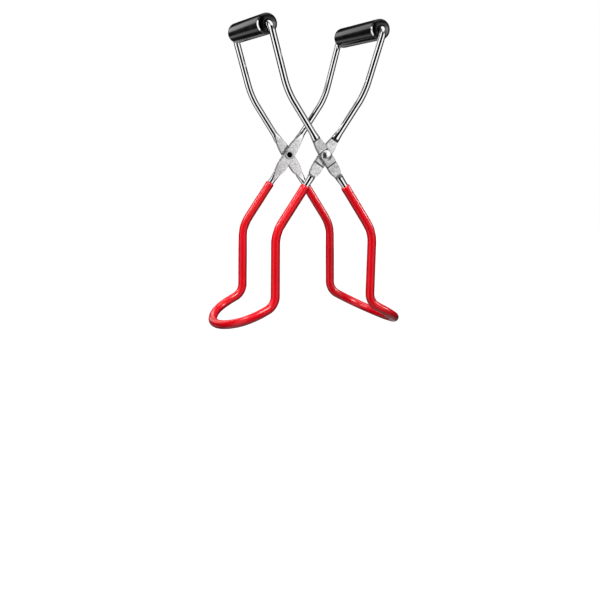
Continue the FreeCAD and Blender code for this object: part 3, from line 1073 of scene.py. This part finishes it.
def build_world():
    """The room, as reflections show it: upright panels all round, soft cards behind, a bright
    ceiling and a dimmer floor. Dull surfaces get only a share of its light."""
    world = bpy.data.worlds.new("studio")
    world.use_nodes = True
    tree = world.node_tree
    background = tree.nodes["Background"]

    def math_node(operation, *values):
        made = tree.nodes.new("ShaderNodeMath")
        made.operation = operation
        for socket, value in zip(made.inputs, values):
            if isinstance(value, (int, float)):
                socket.default_value = value
            else:
                tree.links.new(value, socket)
        return made.outputs[0]

    def step(value, edges):
        made = tree.nodes.new("ShaderNodeMapRange")
        made.interpolation_type = "SMOOTHSTEP"
        tree.links.new(value, made.inputs["Value"])
        made.inputs["From Min"].default_value = edges[0]
        made.inputs["From Max"].default_value = edges[1]
        return made.outputs["Result"]

    def blend(share, first, second):
        made = tree.nodes.new("ShaderNodeMix")
        made.data_type = "RGBA"
        tree.links.new(share, made.inputs["Factor"])
        for socket, value in ((made.inputs["A"], first), (made.inputs["B"], second)):
            if isinstance(value, float):
                socket.default_value = (value, value, value, 1)
            else:
                tree.links.new(value, socket)
        return made.outputs["Result"]

    source = tree.nodes.new("ShaderNodeTexCoord")
    parts = tree.nodes.new("ShaderNodeSeparateXYZ")
    tree.links.new(source.outputs["Generated"], parts.inputs[0])
    x, y, z = parts.outputs
    turn = math_node("ARCTAN2", x, math_node("MULTIPLY", y, -1.0))
    bearing = math_node("ADD", math_node("DIVIDE", turn, 2 * math.pi), 0.5)
    sides = bearing_ramp(tree, bearing)
    off_level = step(math_node("ABSOLUTE", z),
                     (RIGHT_PANEL_REACH, RIGHT_PANEL_REACH + WALL_EDGE))
    sides = blend(math_node("MULTIPLY", off_level, step(x, WALL_RIGHT)), sides,
                  WALL / ROOM_STRENGTH)
    behind = step(y, BEHIND)
    clock = math_node("MULTIPLY", math_node("ARCTAN2", x, z), 180 / math.pi)
    for middle, half, level in CARDS:
        off = math_node("ABSOLUTE", math_node("SUBTRACT", clock, middle))
        card = math_node("MULTIPLY", step(off, (half, half - CARD_EDGE)), behind)
        sides = blend(card, sides, level / ROOM_STRENGTH)
    roofed = blend(step(z, CEILING), sides, OVERHEAD / ROOM_STRENGTH)
    above = step(z, (LEFT_PANEL_TOP, LEFT_PANEL_TOP + WALL_EDGE))
    roofed = blend(math_node("MULTIPLY", above, step(x, WALL_LEFT)), roofed,
                   WALL / ROOM_STRENGTH)
    whole = blend(step(z, GROUND), roofed, UNDERFOOT / ROOM_STRENGTH)
    tree.links.new(whole, background.inputs["Color"])
    diffuse = tree.nodes.new("ShaderNodeLightPath").outputs["Is Diffuse Ray"]
    withheld = math_node("MULTIPLY", diffuse, ROOM_STRENGTH * (1 - ROOM_FILL))
    tree.links.new(math_node("SUBTRACT", ROOM_STRENGTH, withheld),
                   background.inputs["Strength"])
    bpy.context.scene.world = world


def group(name, pieces):
    made = bpy.data.collections.new(name)
    for piece in pieces:
        made.objects.link(piece)
    return made


def build_studio(coatings, grips, rivets):
    """The room lights everything. The lamps leave out the bare wire, which would mirror them,
    and the rivets and the grips have their own. The rims and the lamp behind only shine, so
    that the legs' edges stay dark, and the back fill only fills, for views from behind."""
    backdrop = build_backdrop()
    soft = group("coatings_and_floor", coatings + [backdrop])
    dark = group("grips_alone", grips)
    # Bearing and height angle, distance, size and radiance of each lamp.
    area_light("key", -26, 42, 1.3, (0.5, 0.35), 40, soft)
    area_light("rim_left", -100, 36, 1.3, (0.25, 0.25), 33, soft, fills=False)
    area_light("rim_right", 68, 18, 1.3, (0.25, 0.35), 36, soft, fills=False)
    area_light("behind", 177, 21, 1.2, (0.6, 0.25), 2, soft, fills=False)
    area_light("top", 170, 72, 1.4, (1.2, 0.5), 3, soft)
    area_light("back_fill", 162, 4, 1.3, (0.7, 0.5), 8, soft, shines=False)
    area_light("rivet_side", 52, 30, 1.2, (1.8, 1.1), 1.1, group("rivets_alone", rivets))
    area_light("grip_side", -98, -10, 1.2, (1.6, 1.8), 22, dark)
    area_light("grip_front", 36, 3, 1.2, (0.45, 0.5), 3.5, dark)
    build_world()
    bpy.context.scene.view_settings.view_transform = "Standard"


# Solved from the photo.
CAMERA_PLACE = Vector((-0.2827, -0.7680, 0.0024))
CAMERA_YAW = math.radians(-20.0)
CAMERA_PITCH = math.radians(7.45)
CAMERA_ROLL = math.radians(0.65)
CAMERA_LENS = 68.0
CAMERA_NEAR = 0.05


def build_camera():
    """The camera's axes from its yaw, its pitch below level and its roll."""
    camera = bpy.data.objects.new("camera", bpy.data.cameras.new("camera"))
    camera.data.lens = CAMERA_LENS
    camera.data.clip_start = CAMERA_NEAR
    back = Vector((math.sin(CAMERA_YAW) * math.cos(CAMERA_PITCH),
                   -math.cos(CAMERA_YAW) * math.cos(CAMERA_PITCH), math.sin(CAMERA_PITCH)))
    level = Vector((math.cos(CAMERA_YAW), math.sin(CAMERA_YAW), 0))
    upright = back.cross(level)
    right = level * math.cos(CAMERA_ROLL) + upright * math.sin(CAMERA_ROLL)
    up = upright * math.cos(CAMERA_ROLL) - level * math.sin(CAMERA_ROLL)
    axes = Matrix((right, up, back)).transposed()
    camera.rotation_mode = "QUATERNION"
    camera.location = CAMERA_PLACE
    camera.rotation_quaternion = axes.to_quaternion()
    bpy.context.scene.collection.objects.link(camera)
    bpy.context.scene.camera = camera


# ---------------------------------------------------------------- assembly

chrome = wire_material()
vinyl = vinyl_material()
plastic = grip_material()
steel = rivet_material()

build_wire_frame("outer_frame", 1, OUTER_REACH, "outer_half", RIVET_RADIUS + HOLE_CLEARANCE,
                 chrome)
build_wire_frame("inner_frame", -1, INNER_REACH, "inner_half", RIVET_RADIUS * SNUG, chrome)
coatings = [build_coating("outer_jaw_coating", 1, OUTER_REACH, "outer_half", vinyl),
            build_coating("inner_jaw_coating", -1, INNER_REACH, "inner_half", vinyl)]
grips = [build_grip("outer_grip", "outer_grip", plastic),
         build_grip("inner_grip", "inner_grip", plastic)]
rivets = [build_rivet("front_rivet", "inner_half", steel),
          build_rivet("rear_rivet", "inner_half", steel)]
build_studio(coatings, grips, rivets)
build_camera()
